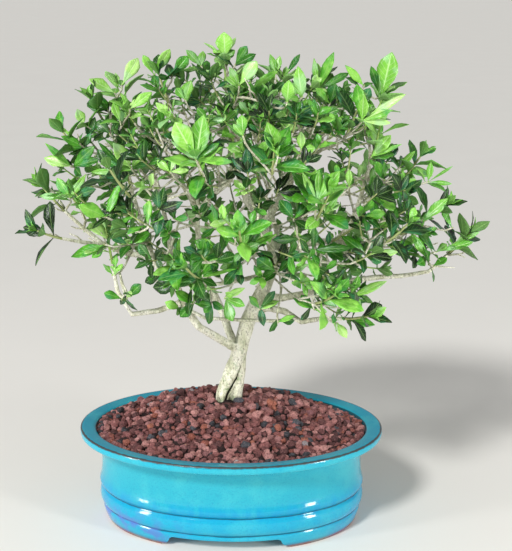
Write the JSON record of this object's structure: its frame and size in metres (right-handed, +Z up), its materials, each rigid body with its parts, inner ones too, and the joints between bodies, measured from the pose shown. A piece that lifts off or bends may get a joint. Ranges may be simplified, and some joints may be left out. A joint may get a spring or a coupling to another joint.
{
  "type": "potted gardenia",
  "caption": "Small gardenia grown as a tree, with a leafy crown on a pale forked trunk, in an oval glazed pot on a cut-away foot, topped with lava gravel.",
  "frame": {"origin": "bottom centre of the box round the whole plant and pot, on the surface that the pot stands on", "axes": "+Z up, along the plant's height; +X along the pot's long side; -Y is the front, as pictured"},
  "size_m": [0.4476, 0.3062, 0.4796],
  "materials": {
    "glaze": "glossy turquoise glaze that pools darker in the grooves and breaks brown at the lip's edge, with a bare red-brown foot edge",
    "screen": "matt dark plastic mesh",
    "soil": "dark granular potting soil",
    "lava": "rough porous red-brown lava grains with some charcoal ones",
    "bark": "pale grey-cream bark with grey-green flecks",
    "leaf": "glossy deep green leaf with a pale midrib",
    "young_leaf": "satin yellow-green young leaf"
  },
  "bodies": {
    "root": {"pot": "glaze", "drain_screen_left": "screen", "drain_screen_right": "screen", "soil": "soil", "gravel": "lava", "wood": "bark", "spray_01": "young_leaf", "spray_02": "leaf", "spray_03": "young_leaf", "spray_04": "leaf", "spray_05": "leaf", "spray_06": "leaf", "spray_07": "leaf", "spray_08": "leaf", "spray_09": "leaf", "spray_10": "leaf", "spray_11": "leaf", "spray_12": "leaf", "spray_13": "young_leaf", "spray_14": "leaf", "spray_15": "leaf", "spray_16": "leaf", "spray_17": "leaf", "spray_18": "young_leaf", "spray_19": "leaf", "spray_20": "leaf", "spray_21": "leaf", "spray_22": "young_leaf", "spray_23": "leaf", "spray_24": "leaf", "spray_25": "leaf", "spray_26": "leaf", "spray_27": "leaf", "spray_28": "leaf", "spray_29": "leaf", "spray_30": "leaf", "spray_31": "leaf", "spray_32": "leaf", "spray_33": "young_leaf", "spray_34": "leaf", "spray_35": "leaf", "spray_36": "leaf", "spray_37": "leaf", "spray_38": "leaf", "spray_39": "leaf", "spray_40": "young_leaf"}
  },
  "joints": []
}
